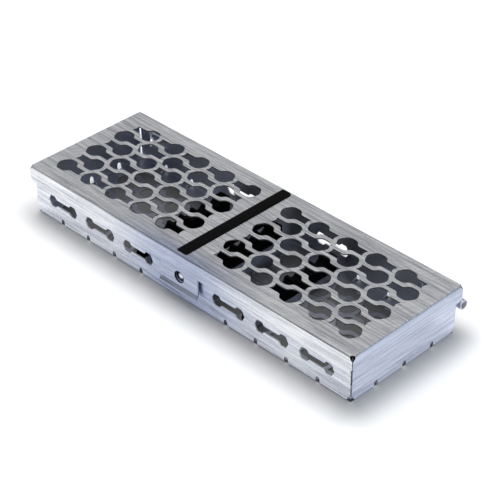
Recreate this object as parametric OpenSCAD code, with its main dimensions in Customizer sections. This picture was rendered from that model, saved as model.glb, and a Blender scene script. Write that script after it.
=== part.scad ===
// Dental instrument cassette: a folded steel tray and hinged lid, both perforated with the same
// interlocking keyhole pattern, with rolled hinge knuckles, a spring latch tongue, three notched
// silicone supports on riveted rails and a silicone hold-down bar in the lid.
// Millimetres, +Z up. X runs along the case, the latch is on the -Y side and the hinge on the +Y
// side. The origin is the centre of the face that the tray stands on.

/* [Case] */
// Outer length of the lid
lid_l = 272; // [266:1:320]
// Outer width of the lid
lid_w = 93; // [92.5:0.5:120]
// Height of the closed case
case_h = 34; // [30:0.5:44]
// Thickness of the sheet that the tray and the lid are folded from
sheet_t = 0.8; // [0.6:0.1:1]
// Outside radius of the folds
fold_r = 1.6; // [1.2:0.1:2.4]
// Height of the lid's flange
lid_flange_h = 11; // [9:0.2:13]
// Side gap between the lid's flange and the tray's wall
lid_side_gap = 1.4; // [1.3:0.1:2]
// Gap between the tray's upper edge and the lid's underside
lid_rest_gap = 0.2; // [0.1:0.05:0.5]

/* [Corners] */
// Width of the open seam between two of the lid's flanges
lid_seam_gap = 0.6; // [0.4:0.1:1.4]
// Leg of the relief that is cut off each of the lid's upper corners
lid_corner_cut = 3.4; // [2.6:0.1:4.4]
// Leg of the bevel at the flanges' lower corners
lid_chamfer = 2.75; // [1.5:0.05:4]
// Width of the open seam between two of the tray's walls
tray_seam_gap = 1; // [0.4:0.1:1.4]
// Height of the relief that is cut off each of the tray's lower corners
tray_corner_rise = 6.05; // [4.5:0.05:8]
// Leg of that relief along the base
tray_corner_leg = 4.65; // [3.5:0.05:6]
// Height of the lip that the floor turns up across each lower corner
corner_lip_h = 2; // [1.2:0.1:2.8]

/* [Perforation] */
// Least distance between the keyholes and the lid's front and back
side_edge = 10; // [9.5:0.1:10.4]
// Least distance between the keyholes and the lid's ends
end_edge = 7; // [5:0.1:10]
// Spacing of the rows
row_pitch = 11.9; // [11.6:0.1:12]
// Spacing of the keyholes along a row
hole_pitch = 22.6; // [22.4:0.1:23.2]
// Distance across the flats of a keyhole's lobe
lobe_af = 12.6; // [12.5:0.1:13.2]
// Corner radius of the lobe
lobe_r = 4.2; // [2:0.1:4.3]
// Height of the neck
neck_h = 5.6; // [4.6:0.1:5.7]
// Reach of the neck's two tips from the lobe's centre
neck_reach = 14.2; // [13:0.1:14.6]
// Depth of the hollow in the neck's end
neck_hollow = 0.9; // [0.4:0.1:1.4]
// Radius between the neck and the lobe
neck_r = 2.6; // [2:0.1:2.7]
// Innermost lobe of the rows whose necks point outwards, from the middle of the case
outward_lobe_x = 17.1; // [15:0.1:18]
// Innermost lobe of the rows whose necks point inwards, from the middle of the case
inward_lobe_x = 28.7; // [28:0.1:30]

/* [Wall slots] */
// Height of the slots' middle above the base
slot_z = 14.7; // [12:0.1:16]
// Innermost slot, from the middle of the case
slot_x = 38.4; // [36:0.1:40]
// Spacing of the slots
slot_pitch = 34.7; // [32:0.1:35]
// Slots in each half of the front wall
front_slots = 3; // [1:1:3]
// Slots in each half of the back wall, between the hinges
back_slots = 1; // [0:1:2]
// Overall length of a slot
slot_l = 26.85; // [22:0.05:28]
// Height of a slot's two lobes
slot_lobe_h = 8.2; // [6:0.1:9]
// Height of a slot's neck
slot_neck_h = 4.4; // [3:0.1:5]
// Distance from a slot's middle to the centre of a lobe
slot_lobe_x = 9.15; // [8:0.05:9.5]
// Radius of a slot's corners
slot_r = 1.3; // [0.6:0.1:1.6]

/* [Fold slots] */
// Width of the drain slots in the tray's folds
drain_w = 3; // [2:0.1:4]
// Length of a drain slot across the fold
drain_l = 6.4; // [4.4:0.1:7]
// Innermost drain slot along the long folds, from the middle of the case
drain_x = 36.3; // [30:0.1:40]
// Spacing of the drain slots along the long folds
drain_pitch_x = 24.2; // [20:0.1:25]
// Spacing of the drain slots along the short folds
drain_pitch_y = 23.75; // [15:0.05:26]

/* [Hinges] */
// Distance from the flange's lower edge down to the hinge axis
hinge_drop = 5; // [4.4:0.1:6]
// Outside diameter of a rolled knuckle
knuckle_d = 6.4; // [5.6:0.1:7]
// Radial clearance between a pin and its knuckles
pin_clear = 0.05; // [0.02:0.01:0.1]
// Distance from the lid's end to the outer knuckle
hinge_inset = 0.6; // [0.2:0.1:6]
// Length of each of the lid's two knuckles at one hinge
lid_knuckle_l = 11; // [8:0.5:14]
// Length of the tray's knuckle between them
tray_knuckle_l = 16; // [10:0.5:20]
// End gap between two knuckles
knuckle_gap = 0.3; // [0.2:0.05:0.6]
// Recess of the pin in the outer knuckle
pin_recess = 6; // [1:0.5:8]

/* [Latch] */
// Width of the spring tongue
tongue_w = 31.4; // [24:0.2:40]
// Distance from the flange's lower edge down to the bend of the tongue's lip
tongue_drop = 11.3; // [10:0.1:12]
// Distance that the tongue's lip stands out
tongue_lip_out = 1.6; // [0.8:0.1:2.4]
// Distance that the lip runs down from its bend
tongue_lip_drop = 2.1; // [1:0.1:3]
// Diameter of the hole that shows the stud
catch_d = 7.4; // [6.4:0.1:8]
// Distance from the flange's lower edge down to the catch hole and the stud
catch_drop = 5.4; // [4.8:0.1:6]
// Diameter of the stud's domed head
stud_d = 5.6; // [4:0.1:6]
// Clearance between the stud's dome and the tongue
stud_clear = 0.1; // [0.05:0.05:0.4]

/* [Supports] */
// Distance of the outer supports from the middle of the case
support_x = 45.4; // [30:0.1:60]
// Width of a silicone support
support_w = 8; // [6:0.5:10]
// Gap between a silicone support's end and the head of the rivet beside it
support_end_gap = 1.1; // [0.5:0.1:4]
// Height of the supports' upper edge above the base
support_z = 16; // [13:0.5:19]
// Radius of the notches that hold the instruments
notch_r = 3.6; // [2.5:0.1:4]
// Spacing of the notches
notch_pitch = 9.8; // [9:0.1:10.5]
// Height of the rails' legs
rail_leg_h = 5; // [3:0.5:7]
// Distance from a rail's end to its rivet
rivet_end = 2.6; // [2.4:0.1:2.8]

/* [Lid bar] */
// Width of the bar's upper lip
bar_w = 8.4; // [7:0.2:9]
// Distance from the lid's front to the bar's lip
bar_front_gap = 2.4; // [2.3:0.1:4]
// Distance from the lid's back to the bar's lip
bar_back_gap = 1.7; // [1.7:0.1:3]
// Height of the lip above the lid
bar_lip_h = 0.4; // [0.2:0.1:0.6]
// Room for the instruments between the supports' upper edge and the bar
hold_gap = 6; // [5:0.5:8]

/* [Hidden] */

// Facets of a full circle and of one rounded corner of an outline
$fn = 72;
corner_steps = 4;
// Extra reach of every cut past the face that it opens
over = 1;

// Tray, inside the lid's flange
tray_inset = sheet_t + lid_side_gap;
tray_l = lid_l - 2 * tray_inset;
tray_w = lid_w - 2 * tray_inset;
tray_h = case_h - sheet_t - lid_rest_gap;
lid_skirt_z = case_h - lid_flange_h;

// Keyholes: as many as the panel takes, an even number of rows with as many holes in each half
lobe_side = lobe_af / 2 / cos(30);
lobe_reach = lobe_side - lobe_r * (1 / cos(30) - 1);
hole_rows = 2 * floor((lid_w / 2 - side_edge - lobe_af / 2) / row_pitch + 1 / 2);
row_holes = 1 + floor((lid_l / 2 - end_edge - inward_lobe_x - lobe_reach) / hole_pitch);

// Hinge line: the lid's flange runs straight into the front of its knuckles
hinge_z = lid_skirt_z - hinge_drop;
knuckle_r = knuckle_d / 2;
bore_r = knuckle_r - sheet_t;
pin_r = bore_r - pin_clear;
leaf_y = lid_w / 2 - sheet_t;
hinge_y = leaf_y + knuckle_r;
roll_gap_angle = 45;
leaf_lap = 1;
outer_knuckle_x = lid_l / 2 - hinge_inset - lid_knuckle_l / 2;
tray_knuckle_x = outer_knuckle_x - lid_knuckle_l / 2 - knuckle_gap - tray_knuckle_l / 2;
inner_knuckle_x = tray_knuckle_x - tray_knuckle_l / 2 - knuckle_gap - lid_knuckle_l / 2;
pin_inner_recess = 2.25;
pin_outer_x = lid_l / 2 - hinge_inset - pin_recess;
pin_inner_x = inner_knuckle_x - lid_knuckle_l / 2 + pin_inner_recess;
// The tray's hinge tab bends out of the wall below its knuckle, in a window that is a little wider
tab_foot_drop = 3.2;
tab_foot_z = hinge_z - knuckle_r - tab_foot_drop;
tab_side_gap = 0.2;

// Latch
tongue_bend_z = lid_skirt_z - tongue_drop;
catch_z = lid_skirt_z - catch_drop;
tongue_top_gap = 0.1;
stud_shank_r = 1.5;
stud_hole_clear = 0.05;
stud_back_r = 2.6;
stud_back_h = 0.8;
stud_dome_h = lid_side_gap - stud_clear;

// Rails and rivets
rail_w = support_w + 2 * sheet_t;
rail_end_gap = 0.45;
rail_l = tray_w - 2 * fold_r - 2 * rail_end_gap;
rivet_r = 1.25;
rivet_head_r = 2.3;
rivet_head_h = 0.9;
rivet_sink_r = 2.1;
rivet_clear = 0.05;
rivet_y = rail_l / 2 - rivet_end;

// Silicone supports
support_floor_z = 2 * sheet_t;
support_l = 2 * (rivet_y - rivet_head_r - support_end_gap);
support_top_r = 1.5;
support_notches = floor((support_l - 2 * notch_r) / notch_pitch);

// Lid bar: a lip above the lid, a neck in its slot and a body under it. The body's back end slopes
// so that it passes the tray's back wall when the lid turns about the hinge line.
bar_front_y = bar_front_gap - lid_w / 2;
bar_back_y = lid_w / 2 - bar_back_gap;
bar_low_z = support_z + hold_gap;
bar_lip_lap = 1.1;
bar_clear = 0.1;
bar_side_in = 0.2;
bar_shoulder_h = 0.8;
bar_root_in = 0.5;
bar_slope = 52.5;
bar_swing_gap = 0.75;
bar_swing_r = norm([hinge_y - tray_w / 2 + sheet_t, tray_h - hinge_z]) + bar_swing_gap;
bar_body_w = bar_w - 2 * bar_side_in;
bar_stud_gap = 0.3;
bar_body_front_y = sheet_t + stud_back_h + bar_stud_gap - tray_w / 2;
bar_front_r = 1;
bar_back_r = 3;
bar_tip_r = 1.2;

steel = [0.74, 0.75, 0.78];
bright_steel = [0.82, 0.83, 0.86];
silicone = [0.07, 0.07, 0.07];

// Unit vector along v
function unit(v) = v / norm(v);

// Angle a brought into the half turn on either side of zero
function short_turn(a) = a > 180 ? a - 360 : a < -180 ? a + 360 : a;

// Points of the arc of radius r that rounds the corner b of the path a, b, c
function corner_arc(a, b, c, r) =
  let (
    to_a = unit(a - b),
    to_c = unit(c - b),
    half = acos(to_a * to_c) / 2,
    mid = b + unit(to_a + to_c) * r / sin(half),
    start = b + to_a * r / tan(half) - mid,
    stop = b + to_c * r / tan(half) - mid,
    from = atan2(start.y, start.x),
    turn = short_turn(atan2(stop.y, stop.x) - from)
  )
  [for (i = [0:corner_steps])
    let (angle = from + turn * i / corner_steps)
    mid + r * [cos(angle), sin(angle)]];

// Closed outline through corners of the form [point, radius], where a radius of 0 stays sharp
function rounded(corners) =
  let (n = len(corners))
  [for (i = [0:n - 1])
    let (
      a = corners[(i + n - 1) % n][0],
      b = corners[i][0],
      c = corners[(i + 1) % n][0],
      r = corners[i][1]
    )
    each (r > 0 ? corner_arc(a, b, c, r) : [b])];

// Points of a circular hollow between two tips at x, h apart, sunk by depth towards the lobe
function hollow_end(x, h, depth) =
  let (
    r = (h * h / 4 + depth * depth) / (2 * depth),
    mid_x = x - depth + r,
    reach = asin(h / 2 / r)
  )
  [for (i = [0:corner_steps])
    let (angle = reach * (2 * i / corner_steps - 1))
    [[mid_x - r * cos(angle), r * sin(angle)], 0]];

// Keyhole outline: a rounded hexagonal lobe at the origin with its neck along +X
function keyhole_points() =
  let (
    half_af = lobe_af / 2,
    neck_x = lobe_side - neck_h / 2 * tan(30)
  )
  rounded(concat(
    [[[-lobe_side, 0], lobe_r]],
    [[[-lobe_side / 2, -half_af], lobe_r]],
    [[[lobe_side / 2, -half_af], lobe_r]],
    [[[neck_x, -neck_h / 2], neck_r]],
    hollow_end(neck_reach, neck_h, neck_hollow),
    [[[neck_x, neck_h / 2], neck_r]],
    [[[lobe_side / 2, half_af], lobe_r]],
    [[[-lobe_side / 2, half_af], lobe_r]]
  ));

// Wall slot outline: two hexagonal lobes joined by a neck
function slot_points() =
  let (
    half_h = slot_lobe_h / 2,
    tip = slot_l / 2,
    slope = (tip - slot_lobe_x) / half_h,
    flat = (tip - slot_lobe_x) / 2,
    neck_x = slot_lobe_x - flat - slope * (half_h - slot_neck_h / 2) / 2,
    quarter = [
      [[tip, 0], slot_r],
      [[slot_lobe_x + flat, half_h], slot_r],
      [[slot_lobe_x - flat, half_h], slot_r],
      [[neck_x, slot_neck_h / 2], slot_r]
    ]
  )
  rounded(concat(
    quarter,
    [for (i = [3:-1:1]) [[-quarter[i][0].x, quarter[i][0].y], slot_r]],
    [for (i = [0:3]) [-quarter[i][0], slot_r]],
    [for (i = [3:-1:1]) [[quarter[i][0].x, -quarter[i][0].y], slot_r]]
  ));

// Everything inside, drawn at +X and again mirrored at -X
module both_ends() {
  children();
  mirror([1, 0, 0]) children();
}

// Rectangle on the X axis whose two upper corners have the radius r
module fold_profile(w, h, r) {
  translate([-w / 2, 0]) square([w, h - r]);
  translate([r - w / 2, 0]) square([w - 2 * r, h]);
  for (x = [r - w / 2, w / 2 - r]) translate([x, h - r]) circle(r);
}

// Block l by w by h whose four upper edges are rounded like a fold
module folded_block(l, w, h, r) {
  intersection() {
    rotate([90, 0, 90]) linear_extrude(l, center = true) fold_profile(w, h, r);
    rotate([90, 0, 0]) linear_extrude(w, center = true) fold_profile(l, h, r);
  }
}

// Everything inside, drawn at each corner of a block l by w with +X outwards along the diagonal
module at_corners(l, w) {
  for (x = [-1, 1], y = [-1, 1]) translate([x * l / 2, y * w / 2, 0]) rotate([0, 0, atan2(y, x)])
    children();
}

// Cutter for a corner, above the plane that falls by rise over the leg along both edges
module corner_cutter(rise, leg) {
  reach = 4 * max(rise, leg);
  rotate([0, atan(sqrt(2) * rise / leg), 0]) translate([-reach / 2, -reach / 2, 0]) cube(reach);
}

// Pan folded from one sheet, open at z = 0, with mitred seams and relieved corners
module folded_pan(l, w, h, seam, rise, leg) {
  slit = fold_r + sheet_t + over;
  difference() {
    folded_block(l, w, h, fold_r);
    translate([0, 0, -over])
      folded_block(l - 2 * sheet_t, w - 2 * sheet_t, h - sheet_t + over, fold_r - sheet_t);
    at_corners(l, w) {
      translate([-slit, -seam / 2, -over]) cube([slit + over, seam, h - rise / 2 + over]);
      translate([0, 0, h - rise]) corner_cutter(rise, leg);
    }
  }
}

// Lips that the tray's floor turns up across its corners, from wall to wall
module corner_lips() {
  edge = tray_corner_leg / sqrt(2);
  intersection() {
    translate([0, 0, tray_h]) rotate([180, 0, 0])
      folded_block(tray_l - sheet_t, tray_w - sheet_t, tray_h - sheet_t / 2, fold_r - sheet_t / 2);
    at_corners(tray_l, tray_w) translate([-edge - sheet_t, -tray_corner_leg, 0])
      cube([sheet_t, 2 * tray_corner_leg, corner_lip_h]);
  }
}

// All keyholes of one panel, as outlines in its plane
module perforation() {
  for (row = [0:hole_rows - 1], i = [0:row_holes - 1]) {
    inward = row % 2 == 0;
    x = (inward ? inward_lobe_x : outward_lobe_x) + i * hole_pitch;
    y = (row - (hole_rows - 1) / 2) * row_pitch;
    both_ends() translate([x, y]) mirror([inward ? 1 : 0, 0, 0]) polygon(keyhole_points());
  }
}

// Cutters for count slots in each half of a long wall
module wall_slots(count) {
  if (count > 0) for (i = [0:count - 1]) both_ends()
    translate([slot_x + i * slot_pitch, 0, slot_z]) rotate([90, 0, 0])
      linear_extrude(sheet_t + 2 * over, center = true) polygon(slot_points());
}

// Cutter for one drain slot, along Y and through a sheet whose folded edge is at the origin
module drain_slot() {
  straight = drain_l - drain_w;
  reach = drain_l / 2 + sqrt(2) * sheet_t + over;
  linear_extrude(2 * reach, center = true) {
    square([drain_w, straight], center = true);
    for (y = [-straight / 2, straight / 2]) translate([0, y]) circle(d = drain_w);
  }
}

// Cutters for the drain slots, which lie across the tray's folds
module drain_slots() {
  for (x = [drain_x:drain_pitch_x:tray_l / 2 - drain_pitch_x / 2], y = [-1, 1]) both_ends()
    translate([x, y * tray_w / 2, 0]) rotate([45 * y, 0, 0]) drain_slot();
  for (y = [-drain_pitch_y, 0, drain_pitch_y]) both_ends()
    translate([tray_l / 2, y, 0]) rotate([45, 0, -90]) drain_slot();
}

// Knuckle section in the YZ plane: a ring left open from the angle gap_from on
module roll_profile(gap_from) {
  gap_to = gap_from + roll_gap_angle;
  translate([hinge_y, hinge_z]) difference() {
    circle(knuckle_r);
    circle(bore_r);
    polygon([[0, 0], knuckle_d * [cos(gap_from), sin(gap_from)], knuckle_d * [cos(gap_to), sin(gap_to)]]);
  }
}

// Tray's hinge tab: it steps outwards from the wall, runs up and rolls back over the pin
module tray_knuckle() {
  inner_y = tray_w / 2 - sheet_t;
  step = leaf_y - inner_y;
  bend_lift = sheet_t * (sqrt(2) - 1);
  rotate([90, 0, 90]) linear_extrude(tray_knuckle_l, center = true) {
    polygon([
      [inner_y, tab_foot_z - leaf_lap],
      [inner_y + sheet_t, tab_foot_z - leaf_lap],
      [inner_y + sheet_t, tab_foot_z],
      [leaf_y + sheet_t, tab_foot_z + step],
      [leaf_y + sheet_t, hinge_z],
      [leaf_y, hinge_z],
      [leaf_y, tab_foot_z + step + bend_lift],
      [inner_y, tab_foot_z + bend_lift]
    ]);
    roll_profile(180);
  }
}

// Lid's hinge knuckle: the flange runs down and rolls forwards under the pin
module lid_knuckle() {
  rotate([90, 0, 90]) linear_extrude(lid_knuckle_l, center = true) {
    translate([leaf_y, hinge_z]) square([sheet_t, hinge_drop + lid_chamfer]);
    roll_profile(180 - roll_gap_angle);
  }
}

// Round seats for the rail rivets: a clear hole with a countersink at the underside
module rivet_seats() {
  for (x = [-support_x, 0, support_x], y = [-rivet_y, rivet_y]) translate([x, y, 0]) {
    translate([0, 0, -over]) cylinder(r = rivet_r + rivet_clear, h = support_floor_z + 2 * over);
    cylinder(r1 = rivet_sink_r + rivet_clear, r2 = rivet_r + rivet_clear, h = sheet_t);
  }
}

module base_tray() {
  window_w = tray_knuckle_l + 2 * tab_side_gap;
  color(steel) {
    difference() {
      translate([0, 0, tray_h]) rotate([180, 0, 0])
        folded_pan(tray_l, tray_w, tray_h, tray_seam_gap, tray_corner_rise, tray_corner_leg);
      translate([0, 0, -over]) linear_extrude(sheet_t + 2 * over) perforation();
      translate([0, (sheet_t - tray_w) / 2, 0]) wall_slots(front_slots);
      translate([0, (tray_w - sheet_t) / 2, 0]) wall_slots(back_slots);
      drain_slots();
      rivet_seats();
      translate([0, (sheet_t - tray_w) / 2, catch_z]) rotate([90, 0, 0])
        cylinder(r = stud_shank_r + stud_hole_clear, h = sheet_t + 2 * over, center = true);
      both_ends() translate([tray_knuckle_x - window_w / 2, tray_w / 2 - sheet_t - over, tab_foot_z])
        cube([window_w, sheet_t + 2 * over, tray_h]);
    }
    corner_lips();
    both_ends() translate([tray_knuckle_x, 0, 0]) tray_knuckle();
  }
}

// Outline of the lid bar's lip, drawn in by the distance in, with rounder corners at the back
function bar_outline(in) =
  let (half = bar_w / 2 - in)
  rounded([
    [[-half, bar_front_y + in], bar_front_r],
    [[half, bar_front_y + in], bar_front_r],
    [[half, bar_back_y - in], bar_back_r - in],
    [[-half, bar_back_y - in], bar_back_r - in]
  ]);

module lid_cover() {
  color(bright_steel) {
    difference() {
      translate([0, 0, lid_skirt_z])
        folded_pan(lid_l, lid_w, lid_flange_h, lid_seam_gap, lid_corner_cut, lid_corner_cut);
      at_corners(lid_l, lid_w) translate([0, 0, lid_skirt_z + lid_chamfer]) mirror([0, 0, 1])
        corner_cutter(lid_chamfer, lid_chamfer);
      translate([0, 0, case_h - sheet_t - over]) linear_extrude(sheet_t + 2 * over) {
        perforation();
        polygon(bar_outline(bar_lip_lap));
      }
    }
    both_ends() for (x = [outer_knuckle_x, inner_knuckle_x]) translate([x, 0, 0]) lid_knuckle();
  }
}

// Spring tongue in line with the lid's front flange, with its lower edge bent outwards as a grip
module latch_tongue() {
  top = lid_skirt_z - tongue_top_gap;
  turn = atan2(tongue_lip_out, tongue_lip_drop);
  lip_end = [-lid_w / 2 - tongue_lip_out, tongue_bend_z - tongue_lip_drop];
  color(bright_steel) difference() {
    rotate([90, 0, 90]) linear_extrude(tongue_w, center = true) polygon([
      [-leaf_y, top],
      [-lid_w / 2, top],
      [-lid_w / 2, tongue_bend_z],
      lip_end,
      lip_end + sheet_t * [cos(turn), -sin(turn)],
      [-leaf_y, tongue_bend_z - sheet_t * tan(turn / 2)]
    ]);
    translate([0, over - leaf_y, catch_z]) rotate([90, 0, 0])
      cylinder(d = catch_d, h = sheet_t + 2 * over);
  }
}

// Dome of height h on a circle of radius r
module dome(r, h) {
  ball_r = (r * r + h * h) / (2 * h);
  intersection() {
    translate([0, 0, h - ball_r]) sphere(ball_r);
    cylinder(r = r, h = h + over);
  }
}

// Riveted stud: a dome outside the front wall, a shank through it and a flat head inside
module latch_stud() {
  shank_in = sheet_t + stud_back_h / 2;
  shank_out = stud_dome_h / 2;
  color(bright_steel) translate([0, -tray_w / 2, catch_z]) rotate([90, 0, 0]) {
    dome(stud_d / 2, stud_dome_h);
    translate([0, 0, -shank_in]) cylinder(r = stud_shank_r, h = shank_in + shank_out);
    translate([0, 0, -sheet_t - stud_back_h]) cylinder(r = stud_back_r, h = stud_back_h);
  }
}

module hinge_pin() {
  color(bright_steel) translate([pin_inner_x, hinge_y, hinge_z]) rotate([0, 90, 0])
    cylinder(r = pin_r, h = pin_outer_x - pin_inner_x);
}

module hinge_pin_left() {
  mirror([1, 0, 0]) hinge_pin();
}

module hinge_pin_right() {
  hinge_pin();
}

// Rail at x: a strip riveted to the tray's floor, with two legs that hold a silicone support
module support_rail(x) {
  color(steel) translate([x, 0, sheet_t]) difference() {
    union() {
      translate([-rail_w / 2, -rail_l / 2, 0]) cube([rail_w, rail_l, sheet_t]);
      for (side = [-rail_w / 2, rail_w / 2 - sheet_t])
        translate([side, -support_l / 2, 0]) cube([sheet_t, support_l, rail_leg_h]);
    }
    for (y = [-rivet_y, rivet_y]) translate([0, y, -over])
      cylinder(r = rivet_r + rivet_clear, h = sheet_t + 2 * over);
  }
}

module support_rail_left() {
  support_rail(-support_x);
}

module support_rail_centre() {
  support_rail(0);
}

module support_rail_right() {
  support_rail(support_x);
}

// Rivets of the rails: a low round head on the rail, flush in the countersink below
module support_rivets() {
  for (x = [-support_x, 0, support_x], y = [-rivet_y, rivet_y])
    color(bright_steel) translate([x, y, 0]) {
      cylinder(r1 = rivet_sink_r, r2 = rivet_r, h = sheet_t);
      cylinder(r = rivet_r, h = support_floor_z + rivet_head_h / 2);
      translate([0, 0, support_floor_z]) dome(rivet_head_r, rivet_head_h);
    }
}

// Silicone support at x: a rounded bar with a row of notches along its upper edge
module silicone_support(x) {
  h = support_z - support_floor_z;
  color(silicone) translate([x, 0, support_floor_z]) difference() {
    rotate([90, 0, 0]) linear_extrude(support_l, center = true) fold_profile(support_w, h, support_top_r);
    for (i = [0:support_notches - 1])
      translate([0, (i - (support_notches - 1) / 2) * notch_pitch, h]) rotate([0, 90, 0])
        cylinder(r = notch_r, h = support_w + 2 * over, center = true);
  }
}

module silicone_support_left() {
  silicone_support(-support_x);
}

module silicone_support_centre() {
  silicone_support(0);
}

module silicone_support_right() {
  silicone_support(support_x);
}

// Back end of the bar's body at the height z, on the slope that keeps its distance from the hinge
function bar_slope_y(z) = hinge_y - (bar_swing_r - (z - hinge_z) * cos(bar_slope)) / sin(bar_slope);

// Hold-down bar: its lip and shoulders grip the edges of the lid's slot from both sides, and a root
// inside its neck joins the lip to the body
module lid_silicone_bar() {
  under_z = case_h - sheet_t;
  shoulder_z = under_z - bar_shoulder_h;
  neck_in = bar_lip_lap + bar_clear;
  root_in = neck_in + bar_root_in;
  root_y = bar_body_front_y + bar_root_in;
  root_l = bar_slope_y(shoulder_z) - bar_root_in - root_y;
  color(silicone) {
    translate([0, 0, case_h]) linear_extrude(bar_lip_h) polygon(bar_outline(0));
    translate([0, 0, under_z]) linear_extrude(sheet_t + bar_lip_h / 2) polygon(bar_outline(neck_in));
    translate([root_in - bar_w / 2, root_y, shoulder_z])
      cube([bar_w - 2 * root_in, root_l, bar_shoulder_h + sheet_t]);
    intersection() {
      rotate([90, 0, 90]) linear_extrude(bar_body_w, center = true) polygon([
        [bar_body_front_y, under_z],
        [bar_body_front_y, bar_low_z],
        [bar_slope_y(bar_low_z), bar_low_z],
        [bar_slope_y(shoulder_z), shoulder_z],
        [bar_slope_y(shoulder_z), under_z]
      ]);
      translate([0, 0, under_z]) rotate([0, 180, 0]) rotate([90, 0, 0])
        linear_extrude(2 * lid_w, center = true) fold_profile(bar_body_w, under_z - bar_low_z, bar_tip_r);
    }
  }
}

base_tray();
lid_cover();
latch_tongue();
latch_stud();
hinge_pin_left();
hinge_pin_right();
support_rail_left();
support_rail_centre();
support_rail_right();
support_rivets();
silicone_support_left();
silicone_support_centre();
silicone_support_right();
lid_silicone_bar();
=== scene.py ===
"""Looks of a dental instrument cassette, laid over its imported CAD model.

The folded sheets and the small steel fittings are the CAD nodes with brushed and turned steel
finishes. The silicone supports and the silicone bar in the lid are moulded pieces built here.
Lengths are metres in the CAD frame: X along the case, the latch on the -Y side, Z up.
"""
import math

import bmesh
import bpy
from bpy.props import FloatProperty, FloatVectorProperty, PointerProperty
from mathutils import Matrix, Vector


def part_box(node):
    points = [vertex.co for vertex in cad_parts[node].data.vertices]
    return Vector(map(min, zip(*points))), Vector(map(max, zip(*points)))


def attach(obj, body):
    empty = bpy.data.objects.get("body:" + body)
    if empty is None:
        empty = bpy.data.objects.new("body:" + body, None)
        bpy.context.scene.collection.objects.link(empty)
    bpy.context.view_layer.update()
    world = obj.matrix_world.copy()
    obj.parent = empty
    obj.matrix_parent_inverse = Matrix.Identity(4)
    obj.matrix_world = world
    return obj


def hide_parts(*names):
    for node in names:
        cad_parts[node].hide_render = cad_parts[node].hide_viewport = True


bl_info = {
    "name": "Dental instrument cassette",
    "version": (1, 0, 0),
    "blender": (4, 5, 0),
    "location": "3D View > Sidebar > Cassette",
    "description": "Finishes, silicone pieces and studio for a perforated steel cassette",
    "category": "Object",
}

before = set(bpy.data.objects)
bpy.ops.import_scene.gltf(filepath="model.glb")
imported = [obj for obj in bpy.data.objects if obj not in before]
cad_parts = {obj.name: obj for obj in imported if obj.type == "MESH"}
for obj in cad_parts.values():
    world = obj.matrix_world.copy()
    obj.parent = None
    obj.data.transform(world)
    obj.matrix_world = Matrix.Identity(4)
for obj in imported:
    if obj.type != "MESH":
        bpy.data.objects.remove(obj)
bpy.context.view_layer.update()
MM = 0.001

TRAY_NODES = ["base_tray", "support_rail_left", "support_rail_centre", "support_rail_right"]
LID_NODES = ["lid_cover", "latch_tongue"]
FITTING_NODES = ["latch_stud", "hinge_pin_left", "hinge_pin_right", "support_rivets"]
SUPPORT_SIDES = ["left", "centre", "right"]

# A face belongs to an end wall where it looks along X by more than this
END_FACING = 0.72
# The faces cut through a sheet turn from its own faces by more than this
CUT_FACING = 0.5
# How far the streaks are lighter and darker than the face, as shares of the grain's contrast
LIGHTER_SHARE, DARKER_SHARE = 0.2, 0.8
# What a whole streak adds to the roughness
STREAK_ROUGHNESS = 0.14

# Edges of the silicone pieces that turn by less than this many degrees look smooth
SMOOTH_ANGLE = 35

# Camera that gives the photograph's view, with its turns in degrees
CAMERA_PLACE = (0.60823, -0.59405, 0.61839)
CAMERA_TURNS = (54.7265, 0.2955, 45.0947)
CAMERA_LENS = 127.755


def colour(name, default, description):
    """Colour property with three channels."""
    return FloatVectorProperty(
        name=name, description=description, default=default,
        subtype="COLOR", size=3, min=0.0, max=1.0)


def length(name, default_mm, description):
    """Length property whose default is given in millimetres."""
    return FloatProperty(
        name=name, description=description, default=default_mm * MM,
        unit="LENGTH", subtype="DISTANCE", min=0.0, precision=5)


def share(name, default, description):
    """Property from 0 to 1."""
    return FloatProperty(
        name=name, description=description, default=default, subtype="FACTOR", min=0.0, max=1.0)


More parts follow.
